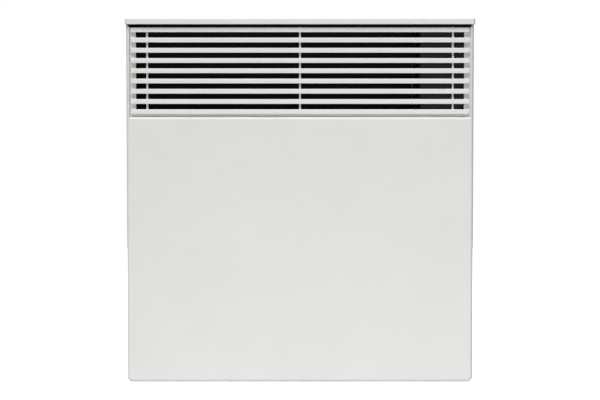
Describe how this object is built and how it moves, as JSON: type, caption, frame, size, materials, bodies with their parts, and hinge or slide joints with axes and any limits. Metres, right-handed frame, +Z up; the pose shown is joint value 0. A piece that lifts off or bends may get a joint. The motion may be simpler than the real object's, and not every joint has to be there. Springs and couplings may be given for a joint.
{
  "type": "wall panel convector heater",
  "caption": "Flat wall heater: folded white steel shell, louvred warm-air outlet below an overhanging top cover, finned element inside, hung on a ladder bracket.",
  "frame": {"origin": "back face of the wall bracket, at the middle of its top rail", "axes": "+Z up, +Y into the wall, the louvred front faces -Y, +X to the right as seen from the front"},
  "size_m": [0.423, 0.08, 0.442],
  "materials": {
    "white_powder_coat": "white powder coat, satin",
    "zinc_sheet": "galvanised sheet",
    "black_sheet": "matt black stove enamel",
    "black_moulding": "glass-filled polyamide",
    "element_aluminium": "extruded",
    "bright_steel": "bright zinc plate",
    "ceramic_bush": "glazed steatite",
    "white_moulding": "fine texture",
    "amber_lens": "clear tinted",
    "lead_brown": "silicone sleeve",
    "lead_blue": "silicone sleeve",
    "copper": "drawn copper"
  },
  "bodies": {
    "heater": {"cable_gland": "black_moulding", "casing_screw_left_lower": "bright_steel", "casing_screw_left_middle": "bright_steel", "casing_screw_left_upper": "bright_steel", "casing_screw_right_lower": "bright_steel", "casing_screw_right_middle": "bright_steel", "casing_screw_right_upper": "bright_steel", "compartment_partition": "black_sheet", "control_bezel": "white_moulding", "control_housing": "black_moulding", "cover_screw_left": "bright_steel", "cover_screw_right": "bright_steel", "element_bracket_left": "zinc_sheet", "element_bush_left": "ceramic_bush", "element_bush_right": "ceramic_bush", "element_fins": "element_aluminium", "element_rod": "bright_steel", "front_panel": "white_powder_coat", "grille_frame": "white_powder_coat", "grille_tie_centre": "white_powder_coat", "grille_tie_left": "white_powder_coat", "grille_tie_right": "white_powder_coat", "heat_shield": "zinc_sheet", "latch_pin_left": "bright_steel", "latch_pin_right": "bright_steel", "lead_cutout_to_element": "lead_brown", "lead_element_to_terminal": "lead_blue", "lead_supply_to_switch": "lead_brown", "lead_switch_to_thermostat": "lead_brown", "lead_thermostat_to_cutout": "lead_brown", "louvre_slat_1": "white_powder_coat", "louvre_slat_2": "white_powder_coat", "louvre_slat_3": "white_powder_coat", "louvre_slat_4": "white_powder_coat", "louvre_slat_5": "white_powder_coat", "louvre_slat_6": "white_powder_coat", "louvre_slat_7": "white_powder_coat", "louvre_slat_8": "white_powder_coat", "louvre_slat_9": "white_powder_coat", "outlet_deflector": "black_sheet", "pilot_lens": "amber_lens", "rear_casing": "zinc_sheet", "sensor_bulb": "copper", "sensor_capillary": "copper", "sensor_clip": "zinc_sheet", "switch_body": "black_moulding", "terminal_block": "white_moulding", "thermal_cutout": "black_moulding", "thermostat_body": "black_moulding", "top_cover": "white_powder_coat", "wall_bracket": "zinc_sheet"},
    "knob": {"thermostat_knob": "white_moulding", "thermostat_spindle": "bright_steel"},
    "rocker": {"power_rocker": "white_moulding"},
    "left_latch": {"latch_left": "black_moulding"},
    "right_latch": {"latch_right": "black_moulding"}
  },
  "joints": [
    {"name": "thermostat_turn", "type": "hinge", "parent": "heater", "child": "knob", "pos_m": [0.163, -0.047, 0.1293], "axis": [0, 0, -1], "range_deg": [0, 300]},
    {"name": "rocker_tip", "type": "hinge", "parent": "heater", "child": "rocker", "pos_m": [0.192, -0.047, 0.128], "axis": [-1, 0, 0], "range_deg": [0, 14]},
    {"name": "left_latch_turn", "type": "hinge", "parent": "heater", "child": "left_latch", "pos_m": [-0.12, -0.006, 0.062], "axis": [0, 1, 0], "range_deg": [0, 90]},
    {"name": "right_latch_turn", "type": "hinge", "parent": "heater", "child": "right_latch", "pos_m": [0.12, -0.006, 0.062], "axis": [0, -1, 0], "range_deg": [0, 90]}
  ]
}
